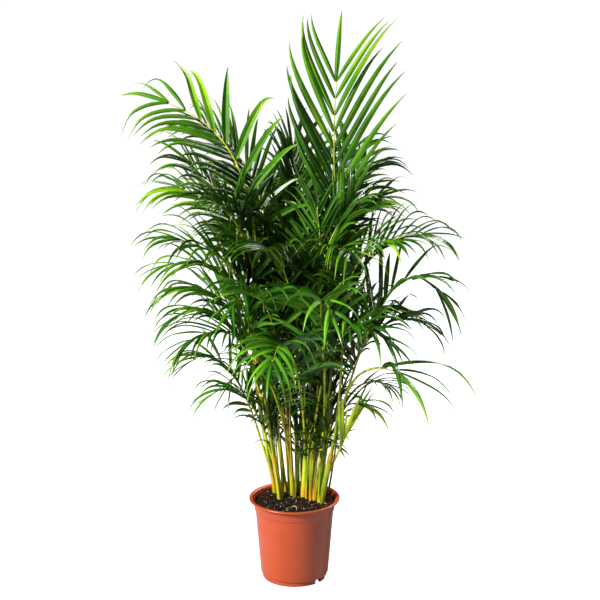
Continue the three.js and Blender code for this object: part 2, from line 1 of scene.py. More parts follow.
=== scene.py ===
"""The looks of a butterfly palm in a plastic nursery pot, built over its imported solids.

Metres, +Z up, the floor at 0; the front of the plant is -Y. Every frond and cane is read
back from its solid, so each finer piece keeps that solid's form: the leaflets get their
curve, fold and taper, the stalks their round section, and the leaflets between those of
the solid are filled in.
"""
import math
import random

import bmesh
import bpy
import numpy as np
from mathutils import Euler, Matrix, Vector, noise


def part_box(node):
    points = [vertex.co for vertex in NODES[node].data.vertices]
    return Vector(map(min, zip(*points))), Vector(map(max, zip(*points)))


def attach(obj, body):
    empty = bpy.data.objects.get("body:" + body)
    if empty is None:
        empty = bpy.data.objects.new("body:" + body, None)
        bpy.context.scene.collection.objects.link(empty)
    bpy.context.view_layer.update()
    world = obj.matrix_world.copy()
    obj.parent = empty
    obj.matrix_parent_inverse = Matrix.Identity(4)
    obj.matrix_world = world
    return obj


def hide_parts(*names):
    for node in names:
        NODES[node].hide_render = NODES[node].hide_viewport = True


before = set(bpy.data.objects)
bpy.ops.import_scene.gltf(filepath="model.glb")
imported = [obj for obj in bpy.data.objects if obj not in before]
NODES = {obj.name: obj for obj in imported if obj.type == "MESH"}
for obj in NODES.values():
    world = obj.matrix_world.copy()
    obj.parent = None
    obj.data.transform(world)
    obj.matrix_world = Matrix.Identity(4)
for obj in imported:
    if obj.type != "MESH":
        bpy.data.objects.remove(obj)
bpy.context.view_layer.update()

# ---- dimensions

WELD = 2e-6  # vertices closer than this are one
TUBE_SIDE = np.array((1.0, 0.15, 0.1))  # where the first corner of a tube's rings points

# camera and light
CAMERA_PLACE = (0.0146, -3.74, 1.641)
CAMERA_PITCH = 13.3  # degrees that it looks down
FOCAL_PIXELS = 1495  # in a picture 600 pixels wide
PICTURE_WIDTH = 600
SENSOR_WIDTH = 36
LIGHTS = (  # name, place, what it points at, size and power
    ("key", (-2.8, -2.1, 2.5), (0, 0, 0.75), 0.9, 378),
    ("fill", (2.6, -1.8, 1.4), (0, 0, 0.7), 2.0, 6),
    ("back", (1.4, 2.4, 2.9), (0, 0, 1.0), 1.5, 110),
)
WORLD_SHOWN = 1.05  # strength of the white world where the camera sees it
WORLD_LIGHT = 0.036  # and where it lights the plant
FLOOR_SIZE = 14

# pot: radii and heights
POT_SIDES = 144
ROUND_STEPS = 4
POT_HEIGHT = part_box("pot")[1].z
RIM_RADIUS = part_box("pot")[1].x
RIM_THICKNESS = 0.0045
RIM_ROLL = 0.0016
SMALL_ROUND = 0.001  # radii of the pot's corners
WIDE_ROUND = 0.002
COLLAR_ROUND = 0.0015
BODY_FOOT_ROUND = 0.003
COLLAR_SLOPE = 0.003  # height over which the collar's step leans out
COLLAR_BOTTOM = 0.186
COLLAR_RADIUS = 0.110
BODY_TOP_RADIUS = 0.1035
BODY_FOOT_RADIUS = 0.0895
FOOT_RADIUS = 0.085
FOOT_HEIGHT = 0.012
FOOT_WIDTH = 0.008
WALL = 0.0022
FLOOR_THICKNESS = 0.0025
NOTCH_WIDTH = 0.020
NOTCH_DEPTH = 0.022
NOTCH_ANGLES = (-43, -12, 137, 168)

# soil
SOIL_HEIGHT = 0.212
SOIL_BUMP = 0.0022
SOIL_RINGS = 44
SOIL_SPOKES = 170
SOIL_GRAIN = 0.0016
SOIL_GAP = 0.0008  # between the soil and the pot's wall
BARK_BITS = 620
BARK_SIZE = (0.0012, 0.0034)
PERLITE_BITS = 46
PERLITE_SIZE = (0.0010, 0.0021)
CRUMB_MARGIN = 0.006  # from the pot's wall
STRAW_BITS = 22
STRAW_MARGIN = 0.02
STRAW_LENGTH = (0.006, 0.016)
STRAW_RADIUS = 0.0007
LONG_STRAW = ((-0.004, -0.052), (0.006, -0.078))  # the one that shows, end to end

# canes
CANE_HEIGHTS = (0.150, 0.140, 0.155, 0.130, 0.175, 0.200, 0.165, 0.075, 0.170, 0.200,
                0.180, 0.155, 0.175, 0.160)
CANE_UPRIGHT = 0.008
CANE_LEAN = 3.0  # per metre of distance from the clump's middle
CLUMP_MIDDLE = Vector((0.012, 0.034))
CANE_TAPER = 0.8
CANE_TOP = 0.06  # how far it goes on over its first stalk, of its height
CANE_UNDER = 0.06  # and below the soil, in metres
STALK_UNDER = 0.04  # how deep inside the cane a stalk starts
FIRST_STALK = 0.84  # where a cane's first stalk leaves it, of its height
NEXT_STALK = 0.26
CANE_SIDES = 14
CANE_STEP = 0.006
NODE_SPACING = 0.052  # between a cane's ring scars
STALK_SIDES = 10
STALK_STEP = 0.012
STALK_RADIUS = 0.0037
STALK_END_RADIUS = 0.0031
STALK_RINGS = 5  # how many a solid's stalk has at most
STALK_END_REACH = 0.0034  # how near a frond's start its stalk's end ring is
STALK_CAP_REACH = 0.0012  # and the middle of that end
STALK_RING_REACH = 0.006  # a wider ring belongs to the cane
SHEATH_LENGTH = 0.07  # over which a stalk's wide base narrows
SHEATH_WIDTH = 0.62  # radius of that base, of the cane's
RIB_TIP_RADIUS = 0.0011
RIB_SIDES = 8
RIB_STEP = 0.010

# leaflets
LEAFLET_STEPS = (0.0, 0.05, 0.12, 0.21, 0.31, 0.42, 0.53, 0.64, 0.74, 0.83, 0.91, 0.965, 1.0)
LINE_KNOTS = (0.0, 0.34, 0.70, 1.0)  # where the solid's middle line bends
WIDTH_KNOTS = (0.0, 0.05, 0.16, 0.34, 0.55, 0.75, 0.90, 1.0)
WIDTHS = (0.36, 0.58, 0.88, 1.0, 0.88, 0.60, 0.28, 0.04)
HALF_CROWN = 0.035  # how far each half bulges, of the width
BLADE_THICKNESS = 0.0005
SAG = (0.02, 0.13)  # how far a leaflet hangs at its tip, of its length
NOD = (0.0, 0.09)  # and how much more its last part does
NOD_START = 0.7
TWIST = 0.25  # in radians
UPRIGHT_TWIST = 0.08
CURL = 0.03  # how far it bends sideways, of its length
OWN_STRAY = 0.025  # how far a leaflet strays from its solid's line at the tip, of its length
SKIPPED = 0.12  # share of the added leaflets that are left out
JITTER = 0.08  # how unevenly the added ones stand
INSIDE_PAINTED_SHADE = 0.3  # how much darker a frond's first leaflets are than its last: painted shade deeper in the crown

# How a frond looks. A pair of leaflets' values is for its lower and its upper side, and a
# range of tone or depth is drawn from; tone is how light its green is, depth how bluish.
COMMON_LOOK = {
    "tone": (0.3, 0.66),
    "depth": (0.0, 0.5),
    "shade": 1.0,  # how much of the painted shade inside and behind the crown it gets
    "young": False,  # has the young leaves' material
    "spacings": (0.015, 0.015),
    "widths": (1.0, 1.0),  # of the solid's
    "folds": (0.28, 0.28),  # height of the ridge over the edges, of the width
    "tones": (0.0, 0.0),  # added to the frond's own
    "tone_spread": 0.3,
    "stray": 0.07,  # as OWN_STRAY, for the leaflets between the solid's
    "limp": 1.0,  # how much the leaflets' ends bend over
    "facing": None,  # where an upright leaf's leaflets face, and how far they turn to it
}
TALL = {"tone": 0.66, "depth": 0.2, "shade": 0.0, "folds": (0.35, 0.35), "tone_spread": 0.16,
        "stray": 0.04}
# the front fronds' lighter tones are painted light on the crown's lit front; their deeper, bluer
# green is their own
FRONT = {"tone": (0.55, 0.8), "depth": 1.0, "shade": 0.0}
YOUNG = {"shade": 0.0, "young": True, "widths": (1.5, 1.5)}
OWN_LOOKS = {
    "frond_01": {**TALL, "spacings": (0.034, 0.034), "widths": (1.15, 1.15), "limp": 0.3,
                 "tones": (-0.10, -0.10), "facing": ((-0.35, -0.9, 0.3), 0.55)},
    "frond_02": {**TALL, "spacings": (0.028, 0.038), "widths": (1.05, 1.45), "limp": 2.0,
                 "tones": (-0.10, 0.08), "folds": (0.35, -0.35)},
    **{f"frond_{number}": {**FRONT, "widths": (width, width)}
       for number, width in ((24, 1.35), (25, 1.5), (26, 1.5), (27, 1.3))},
    "frond_28": {**FRONT, "widths": (0.6, 0.6), "limp": 3.0, "tone": (0.25, 0.5)},
    "frond_32": {"spacings": (0.2, 0.2), "widths": (1.1, 1.1), "tones": (-0.25, -0.25)},
    # the young spears stand in the crown's shadow: their top tone is partly their own pale green
    # and partly painted light
    "frond_34": {**YOUNG, "tone": 1.05, "depth": (0.0, 0.0), "widths": (0.95, 0.95),
                 "limp": 0.1, "facing": ((-0.35, -0.9, 0.25), 0.9)},
    "frond_35": {**YOUNG, "tone": 0.34},
    "frond_36": {**YOUNG, "tone": 0.28},
}
CROWN_RADIUS = 0.25
CROWN_PAINTED_SHADE = 0.25  # painted shade: how much darker a frond in the crown's middle is
BACK_PAINTED_SHADE = 0.12  # and one behind this depth
BACK_START = 0.1
TUFT = "frond_01"  # its leaflets all bend to the right at their tips
TUFT_DRIFT = (0.05, 0.15)  # how far, of their length: those on the right and on the left
LEAFLET_PARTS = ((0.34, 0.05), (0.36, 0.38), (0.30, 1.05))  # share of length and of droop

# young shoots between the canes
SHOOTS = 3  # beside each cane
SHOOT_HEIGHT = (0.20, 0.42)
SHOOT_RADIUS = 0.0032
SHOOT_TIP_RADIUS = 0.0012
SHOOT_LEAFLETS = 7
SHOOT_LEAFLET_LENGTH = (0.07, 0.15)
SHOOT_LEAFLET_WIDTH = 0.085  # of its length
SHOOT_LEAFLET_DEPTH = 0.3  # of green, as above
SHOOT_SWEEPS = (52, 8)  # degrees between stem and leaflet: the first and the last one


# ---- helpers

def linear(red, green, blue):
    """A colour of 0 to 255 as the picture shows it, for a shader's socket."""
    values = [channel / 255 for channel in (red, green, blue)]
    return tuple(v / 12.92 if v <= 0.04045 else ((v + 0.055) / 1.055) ** 2.4
                 for v in values) + (1.0,)


def mix(a, b, t):
    return a + (b - a) * t


def curve_through(points, knots):
    """A smooth curve through some points, as a function of the knot value."""
    places = np.array(points, float)
    gaps = np.diff(knots)[:, None]
    slopes = np.diff(places, axis=0) / gaps
    tangents = np.empty_like(places)
    if len(places) > 2:
        before, after = gaps[:-1], gaps[1:]
        tangents[1:-1] = (slopes[:-1] * after + slopes[1:] * before) / (before + after)
        tangents[0] = 2 * slopes[0] - tangents[1]
        tangents[-1] = 2 * slopes[-1] - tangents[-2]
    else:
        tangents[:] = slopes[0]

    def at(t):
        i = min(max(int(np.searchsorted(knots, t, side="right")) - 1, 0), len(gaps) - 1)
        gap = gaps[i]
        u = (t - knots[i]) / gap
        ease = u * u * (3 - 2 * u)
        return (places[i] * (1 - ease) + places[i + 1] * ease
                + tangents[i] * gap * u * (1 - u) ** 2
                - tangents[i + 1] * gap * u * u * (1 - u))

    return at


def unit(vector):
    return vector / max(np.linalg.norm(vector), 1e-12)


def path_through(points):
    """A smooth path through points, as a function of 0 to 1, and its length."""
    steps = [np.linalg.norm(b - a) for a, b in zip(points, points[1:])]
    reach = np.concatenate([[0], np.cumsum(steps)])
    return curve_through(points, reach / reach[-1]), reach[-1]


def linked(name, data):
    """A new object, put in the scene."""
    made = bpy.data.objects.new(name, data)
    bpy.context.scene.collection.objects.link(made)
    return made


def object_of(skin, name):
    """A new object with a finished bmesh as its mesh."""
    mesh = bpy.data.meshes.new(name)
    skin.to_mesh(mesh)
    skin.free()
    return linked(name, mesh)


def smooth_outward(skin):
    bmesh.ops.recalc_face_normals(skin, faces=skin.faces)
    for face in skin.faces:
        face.smooth = True


def circle(skin, radius, height, sides):
    turns = [math.tau * i / sides for i in range(sides)]
    return [skin.verts.new((radius * math.cos(a), radius * math.sin(a), height)) for a in turns]


class Surface:
    """Faces gathered for one piece, with the values that its materials read."""

    def __init__(self):
        self.points = []
        self.faces = []
        self.values = []
        self.lines = []
        self.slots = []
        self.corners = []
        self.strips = 0

    def add_loft(self, start, rings, end, values, slot=0, sharp=()):
        """Joins a point, a row of rings and a point into one closed skin.

        values holds one row a ring, of (along, tone, accent): accent is a stem's ring scars,
        and how deep a leaf's green is. around is the place in the ring, and sharp names the
        places that are creases.
        """
        count = len(rings[0])
        first = len(self.points)
        strip = self.strips
        self.strips += 1
        rows = [[start] * count, *rings, [end] * count]
        row_values = [values[0], *values, values[-1]]
        for row, (along, tone, accent) in zip(rows, row_values):
            for number, point in enumerate(row):
                self.points.append(tuple(point))
                self.values.append((along, number / count, tone, accent))
                self.lines.append(number if number in sharp else -1)
        last = len(rows) - 1
        for i in range(last):
            for j in range(count):
                k = (j + 1) % count
                low, high = first + i * count, first + (i + 1) * count
                corners = [(low + j, i, j), (low + k, i, j + 1),
                           (high + k, i + 1, j + 1), (high + j, i + 1, j)]
                if i == 0:
                    corners.pop(1)
                elif i == last - 1:
                    corners.pop(2)
                self.faces.append([corner[0] for corner in corners])
                self.corners.extend((strip, row / last, side / count)
                                    for _, row, side in corners)
                self.slots.append(slot)

    def to_object(self, name, materials):
        mesh = bpy.data.meshes.new(name)
        mesh.from_pydata(self.points, [], self.faces)
        for number, key in enumerate(("along", "around", "tone", "accent")):
            layer = mesh.attributes.new(key, "FLOAT", "POINT")
            layer.data.foreach_set("value", [row[number] for row in self.values])
        mesh.polygons.foreach_set("material_index", self.slots)
        mesh.polygons.foreach_set("use_smooth", [True] * len(self.faces))
        self._crease(mesh)
        self._lay_out(mesh)
        for material in materials:
            mesh.materials.append(material)
        close_points(mesh)
        return linked(name, mesh)

    def _crease(self, mesh):
        """Keeps the edges along the named places sharp."""
        ends = np.empty(len(mesh.edges) * 2, int)
        mesh.edges.foreach_get("vertices", ends)
        ends = ends.reshape(-1, 2)
        lines = np.array(self.lines)
        same = (lines[ends[:, 0]] == lines[ends[:, 1]]) & (lines[ends[:, 0]] >= 0)
        layer = mesh.attributes.new("sharp_edge", "BOOLEAN", "EDGE")
        layer.data.foreach_set("value", same)

    def _lay_out(self, mesh):
        """Gives every loft a strip of its own on the map that patterns are baked through."""
        columns = max(1, round(math.sqrt(self.strips / 9)))
        rows = math.ceil(self.strips / columns)
        margin = 0.06
        places = []
        for strip, along, around in self.corners:
            column, row = divmod(strip, rows)
            u = (column + margin / columns + along * (1 - 2 * margin / columns)) / columns
            v = (row + margin + around * (1 - 2 * margin)) / rows
            places.extend((u, v))
        mesh.uv_layers.new(name="OFBake").data.foreach_set("uv", places)


def close_points(mesh):
    """Joins the corners that meet where a loft starts and ends."""
    skin = bmesh.new()
    skin.from_mesh(mesh)
    bmesh.ops.remove_doubles(skin, verts=skin.verts, dist=1e-7)
    skin.to_mesh(mesh)
    skin.free()


def add_tube(surface, path, length, radius_at, sides, step, values_at, slot=0):
    """A round tube along a path, which is a function of 0 to 1."""
    count = max(3, math.ceil(length / step))
    ts = np.linspace(0, 1, count + 1)
    centres = [path(t) for t in ts]
    turns = [math.tau * i / sides for i in range(sides)]
    rings = []
    for i, centre in enumerate(centres):
        direction = unit(centres[min(i + 1, count)] - centres[max(i - 1, 0)])
        side = unit(TUBE_SIDE - direction * np.dot(TUBE_SIDE, direction))
        up = np.cross(side, direction)
        radius = radius_at(ts[i])
        rings.append([centre + side * radius * math.cos(a) + up * radius * math.sin(a)
                      for a in turns])
    values = [values_at(t) for t in ts]
    surface.add_loft(centres[0], rings, centres[-1], values, slot)


# ---- reading the solids' forms

def welded(node):
    """A node's mesh with its split corners joined."""
    mesh = bmesh.new()
    mesh.from_mesh(NODES[node].data)
    bmesh.ops.remove_doubles(mesh, verts=mesh.verts, dist=WELD)
    return mesh


def neighbours(vertex):
    return {edge.other_vert(vertex) for edge in vertex.link_edges}


def place(vertex):
    return np.array(vertex.co, float)


def is_ring(vertices):
    """Whether these are three vertices, all joined to each other."""
    if len(vertices) != 3:
        return False
    return all(other in neighbours(v) for v in vertices for other in vertices if other != v)


def ordered(ring):
    """A ring's two edges and its ridge, which is opposite the longest side."""
    vertices = sorted(ring, key=lambda v: v.index)  # a set's own order changes from run to run

    def opposite(i):
        a, b = (vertices[j] for j in range(3) if j != i)
        return (a.co - b.co).length

    ridge = max(range(3), key=opposite)
    edges = [vertices[i] for i in range(3) if i != ridge]
    return place(edges[0]), place(edges[1]), place(vertices[ridge]), vertices[ridge]


def read_leaflet(tip):
    """A leaflet of a solid from its tip back to its root, or None where there is none."""
    passed = {tip}
    ring = neighbours(tip)
    rings = []
    for _ in range(3):
        if not is_ring(ring):
            return None
        rings.insert(0, ordered(ring))
        passed |= ring
        ring = set().union(*(neighbours(v) for v in ring)) - passed
    edge_a, edge_b, _, ridge_vertex = rings[0]
    middles = [(a + b) / 2 for a, b, _, _ in rings] + [place(tip)]
    across = [unit(b - a) for a, b, _, _ in rings[1:]]
    if np.dot(across[0], across[1]) < 0:
        across[1] = -across[1]
    return {
        "points": middles,
        "across": across,
        "over": [unit(ridge_place - middle) for (_, _, ridge_place, _), middle
                 in zip(rings[1:], middles[1:])],
        "width": np.linalg.norm(rings[1][1] - rings[1][0]),
        "root_span": np.linalg.norm(edge_b - edge_a),
        "ridge_key": ridge_vertex.index,
        "vertices": {v.index for v in passed},
    }


def read_blade(node):
    """A frond's rib and its leaflets, read from its solid."""
    mesh = welded(node)
    mesh.verts.index_update()
    leaflets = []
    for vertex in mesh.verts:
        if len(vertex.link_edges) == 3:
            leaflet = read_leaflet(vertex)
            if leaflet:
                leaflets.append(leaflet)
    end = min(leaflets, key=lambda each: each["root_span"])
    sides = [each for each in leaflets if each is not end]
    used = set().union(*(each["vertices"] for each in leaflets))
    loose = [place(v) for v in mesh.verts if v.index not in used]
    mesh.free()
    end_root = end["points"][0]
    loose.sort(key=lambda p: -np.linalg.norm(p - end_root))
    cap = loose[:3]
    return {"sides": sides, "end": end, **rib_of(cap, sides, end)}


def rib_of(cap, sides, end):
    """The rib's middle line: from the start cap's flat side to the end leaflet's root."""
    spans = [(np.linalg.norm(cap[i] - cap[j]), i, j) for i in range(3) for j in range(i)]
    _, i, j = max(spans)
    start = (cap[i] + cap[j]) / 2
    stations = {}
    for each in sides:
        stations.setdefault(each["ridge_key"], []).append(each)
    points = []
    for group in stations.values():
        if len(group) == 2:
            points.append((group[0]["points"][0] + group[1]["points"][0]) / 2)
    points.sort(key=lambda p: np.linalg.norm(p - start))
    rib, length = path_through([start, *points, end["points"][0]])
    return {"start": start, "rib": rib, "length": length}


# ---- leaflets

def blend_leaflets(a, b, t):
    """A leaflet between two neighbours."""
    out = {key: [unit(mix(p, q, t)) for p, q in zip(a[key], b[key])] for key in ("across", "over")}
    out["points"] = [mix(p, q, t) for p, q in zip(a["points"], b["points"])]
    out["width"] = mix(a["width"], b["width"], t)
    return out


def bent_line(leaflet, sides, draw, limp, twist, drift):
    """The places along a leaflet's middle, with its bends drawn, and its twist."""
    line = curve_through(leaflet["points"], LINE_KNOTS)
    length = np.linalg.norm(leaflet["points"][3] - leaflet["points"][0])
    sag = length * draw.uniform(*SAG) * min(limp, 1)
    nod = length * draw.uniform(*NOD) * limp
    turn = draw.gauss(0, twist)
    curl = length * draw.gauss(0, CURL) * min(limp, 1)
    centres = []
    for s, side in zip(LEAFLET_STEPS, sides):
        fall = sag * s ** 3 + nod * max(0, (s - NOD_START) / (1 - NOD_START)) ** 2
        centres.append(line(s) - np.array((0, 0, fall)) + side * curl * s ** 2
                       + drift * length * s ** 4)
    return centres, turn


def leaflet_axes(across, direction, leaflet, facing):
    """A leaflet's width and its upper side at one place, both square to its direction."""
    across = unit(across - direction * np.dot(across, direction))
    over = np.cross(across, direction)
    if np.dot(over, leaflet["over"][0]) < 0:
        over = -over
    if facing:
        front, share = np.array(facing[0]), facing[1]
        wanted = unit(front - direction * np.dot(front, direction))
        hand = 1.0 if np.dot(np.cross(direction, over), across) > 0 else -1.0
        over = unit(mix(over if np.dot(over, wanted) > 0 else -over, wanted, share))
        across = np.cross(direction, over) * hand
    return across, over


def add_leaflet(surface, leaflet, draw, tone, depth, width_share, fold, slot=0, limp=1.0,
                drift=0.0, facing=None):
    """A folded, tapering blade along a leaflet's middle line."""
    across_at = curve_through(leaflet["across"], LINE_KNOTS[1:3])
    sides = [unit(across_at(min(max(s, 0.2), 0.8))) for s in LEAFLET_STEPS]
    twist = UPRIGHT_TWIST if facing else TWIST
    centres, turn = bent_line(leaflet, sides, draw, limp, twist, drift)
    rings, values = [], []
    for i, s in enumerate(LEAFLET_STEPS):
        direction = unit(centres[min(i + 1, len(centres) - 1)] - centres[max(i - 1, 0)])
        across, over = leaflet_axes(sides[i], direction, leaflet, facing)
        angle = turn * (0.3 + s)
        across, over = (across * math.cos(angle) + over * math.sin(angle),
                        over * math.cos(angle) - across * math.sin(angle))
        wide = leaflet["width"] * width_share * float(np.interp(s, WIDTH_KNOTS, WIDTHS))
        ridge = centres[i] + over * wide * fold
        edge_a = centres[i] - across * wide / 2
        edge_b = centres[i] + across * wide / 2
        crown = over * wide * HALF_CROWN
        thick = min(BLADE_THICKNESS, wide * 0.2)
        rings.append([edge_a, (edge_a + ridge) / 2 + crown, ridge,
                      (edge_b + ridge) / 2 + crown, edge_b, ridge - over * thick])
        values.append((s, tone, depth))
    surface.add_loft(centres[0], rings[:-1], centres[-1], values[:-1], slot, sharp=(0, 2, 4, 5))


def stray(leaflet, amount, draw):
    """The leaflet with its tip moved aside a little."""
    length = np.linalg.norm(leaflet["points"][3] - leaflet["points"][0])
    drift = np.array([draw.gauss(0, amount) for _ in range(3)]) * length
    moved = [point + drift * knot for point, knot in zip(leaflet["points"], LINE_KNOTS)]
    return {**leaflet, "points": moved}


def leaflet_from(root, heading, length, width, droop):
    """A leaflet that no solid gives: from its root along a heading, bending down."""
    points, headings = [root], []
    for part, weight in LEAFLET_PARTS:
        headings.append(unit(heading - np.array((0, 0, droop * weight))))
        points.append(points[-1] + headings[-1] * part * length)
    across = [unit(np.cross(each, (0.0, 0.0, 1.0))) for each in headings[:2]]
    over = [np.cross(side, each) for side, each in zip(across, headings)]
    return {"points": points, "across": across, "over": over, "width": width}


def side_rows(blade):
    """A blade's leaflets on each side of its rib, from the stalk to the tip."""
    start, end = blade["start"], blade["end"]["points"][0]
    heading = unit(end - start)
    for each in blade["sides"]:
        each["across"] = [v if np.dot(v, heading) > 0 else -v for v in each["across"]]
        each["reach"] = np.linalg.norm(each["points"][0] - start)
    middle = blade["rib"](0.5)
    first = blade["sides"][0]
    side = first["points"][1] - first["points"][0]
    side = side - heading * np.dot(side, heading)
    over = first["over"][0]
    side = unit(side - over * np.dot(side, over) * 0.5)
    rows = ([], [])
    for each in blade["sides"]:
        towards = each["points"][1] - each["points"][0]
        rows[0 if np.dot(towards, side) > 0 else 1].append(each)
    for row in rows:
        row.sort(key=lambda each: each["reach"])
    return sorted(rows, key=rise_of)


def rise_of(row):
    """How much a row's leaflets climb from their roots to their tips."""
    return sum(each["points"][3][2] - each["points"][0][2] for each in row) / len(row)


def added_after(row, i, spacing, draw):
    """The leaflets that stand between one of the solid's and the next."""
    if i + 1 == len(row):
        return []
    added = []
    between = max(round((row[i + 1]["reach"] - row[i]["reach"]) / spacing) - 1, 0)
    for j in range(between):
        if draw.random() < SKIPPED:
            continue
        t = (j + 1) / (between + 1) + draw.uniform(-JITTER, JITTER)
        added.append(blend_leaflets(row[i], row[i + 1], t))
    return added


def grow_blade(node, leaf, young, stem):
    """A frond's rib and all its leaflets, in place of its solid."""
    blade = read_blade(node)
    draw = random.Random(node)
    surface = Surface()
    look = {**COMMON_LOOK, **OWN_LOOKS.get(node, {})}
    limp, spread, facing = look["limp"], look["tone_spread"], look["facing"]
    # the frond's tone, less the painted shade inside and behind the crown
    frond_tone = drawn(look["tone"], draw) - look["shade"] * painted_shade_at(blade["rib"](0.5))
    depth = drawn(look["depth"], draw)
    sides = zip(side_rows(blade), look["spacings"], look["widths"], look["folds"], look["tones"])
    for row, spacing, width, fold, side_tone in sides:
        for i, leaflet in enumerate(row):
            for each in [leaflet, *added_after(row, i, spacing, draw)]:
                tone = frond_tone + side_tone + draw.uniform(-spread, spread)
                # painted shade: leaflets nearer the stalk, deeper in the crown, are darker
                tone += INSIDE_PAINTED_SHADE * (leaflet["reach"] / blade["length"] - 0.5)
                drift = tuft_drift(each) if node == TUFT else 0.0
                amount = OWN_STRAY if each is leaflet else look["stray"]
                each = stray(each, amount * min(limp, 1), draw)
                add_leaflet(surface, each, draw, tone, depth, width, fold, limp=limp,
                            drift=drift, facing=facing)
    add_leaflet(surface, blade["end"], draw, frond_tone, depth, look["widths"][1],
                look["folds"][0], limp=min(limp, 1.0), facing=facing)
    add_rib(surface, blade)
    piece = surface.to_object(node.replace("frond", "leaf"),
                              (young if look["young"] else leaf, stem))
    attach(piece, "root")
    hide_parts(node)
    return blade


def tuft_drift(leaflet):
    """How a leaflet of the tallest frond bends aside at its tip, of its length."""
    leftward = leaflet["points"][3][0] < leaflet["points"][0][0]
    return np.array((TUFT_DRIFT[1 if leftward else 0], 0.0, 0.0))


def drawn(value, draw):
    """A value that is given as it is, or as the range that it is drawn from."""
    return draw.uniform(*value) if isinstance(value, tuple) else value


def painted_shade_at(place_in_crown):
    """Painted shade: how much darker a frond is drawn inside the crown and behind it."""
    x, y, _ = place_in_crown
    inside = max(0.0, 1 - math.hypot(x, y) / CROWN_RADIUS)
    return CROWN_PAINTED_SHADE * inside + (BACK_PAINTED_SHADE if y > BACK_START else 0.0)


def add_rib(surface, blade):
    add_tube(surface, blade["rib"], blade["length"],
             lambda t: mix(STALK_END_RADIUS, RIB_TIP_RADIUS, t), RIB_SIDES, RIB_STEP,
             lambda t: (1.0 + t, 0.5, 0.0), slot=1)


# ---- canes

def cane_axis(mesh, height):
    """A cane's middle line, as a function of the share of its height over the soil."""
    low = min(v.co.z for v in mesh.verts)
    foot_ring = [place(v) for v in mesh.verts if v.co.z < low + 1e-4]
    foot = np.mean(foot_ring, axis=0)
    radius = max(np.linalg.norm(p - foot) for p in foot_ring)
    foot[2] = SOIL_HEIGHT + CANE_UPRIGHT
    outward = foot[:2] - np.array(CLUMP_MIDDLE)
    rise = np.array((outward[0] * CANE_LEAN, outward[1] * CANE_LEAN, 1.0)) * height

    def at(t):
        if t < 0:
            return foot + np.array((0, 0, t * height))
        return foot + rise * t

    return at, radius


def end_ring(mesh, start):
    """The vertices of a stalk's end, which is at a blade's start."""
    return {v for v in mesh.verts if np.linalg.norm(place(v) - start) < STALK_END_REACH}


def read_stalk(mesh, start):
    """The middles of a stalk's rings, from its end at a blade's start down to its cane."""
    passed = end_ring(mesh, start)
    ring = {v for v in passed if np.linalg.norm(place(v) - start) > STALK_CAP_REACH}
    middles = []
    while len(ring) == 4 and len(middles) < STALK_RINGS:
        middle = np.mean([place(v) for v in ring], axis=0)
        if max(np.linalg.norm(place(v) - middle) for v in ring) > STALK_RING_REACH:
            break
        middles.append(middle)
        passed = passed | ring
        ring = set().union(*(neighbours(v) for v in ring)) - passed
    return middles


def grow_cane(node, height, blades, materials):
    """A cane with its stalks and the young shoots beside it, in place of its solid."""
    mesh = welded(node)
    axis, radius = cane_axis(mesh, height)
    draw = random.Random(node)
    surface = Surface()
    own = [blade for blade in blades if end_ring(mesh, blade["start"])]
    add_cane_tube(surface, axis, radius, height, draw)
    for _ in range(SHOOTS):
        add_shoot(surface, axis(0), radius, draw)
    for order, blade in enumerate(own):
        middles = read_stalk(mesh, blade["start"])
        root = axis(FIRST_STALK - NEXT_STALK * order)
        below = axis(FIRST_STALK - NEXT_STALK * order - STALK_UNDER / height)
        add_stalk(surface, [below, root, *reversed(middles)], radius, draw)
    mesh.free()
    piece = surface.to_object(node.replace("cane", "stem"), materials)
    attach(piece, "root")
    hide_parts(node)


def add_cane_tube(surface, axis, radius, height, draw):
    """The cane itself, which swells a little at its foot and at its ring scars."""
    top = FIRST_STALK + CANE_TOP
    low = -(CANE_UPRIGHT + CANE_UNDER) / height
    length = (top - low) * height
    spacing = NODE_SPACING * draw.uniform(0.8, 1.2)
    shift = draw.random()

    def scar_at(t):
        over_soil = mix(low, top, t) * height
        turn = (over_soil / spacing + shift) % 1
        return max(0.0, 1 - abs(turn - 0.5) * 22)

    def radius_at(t):
        rising = max(mix(low, top, t), 0)
        swollen = 1 + 0.04 * scar_at(t) + 0.12 * max(0, 1 - rising * 5)
        return radius * mix(1, CANE_TAPER, rising) * swollen * (1 - 0.5 * max(t - 0.9, 0) * 10)

    def values_at(t):
        return (max(mix(low, top, t), 0) * 0.5, draw.random(), scar_at(t))

    add_tube(surface, lambda t: axis(mix(low, top, t)), length, radius_at, CANE_SIDES,
             CANE_STEP, values_at)


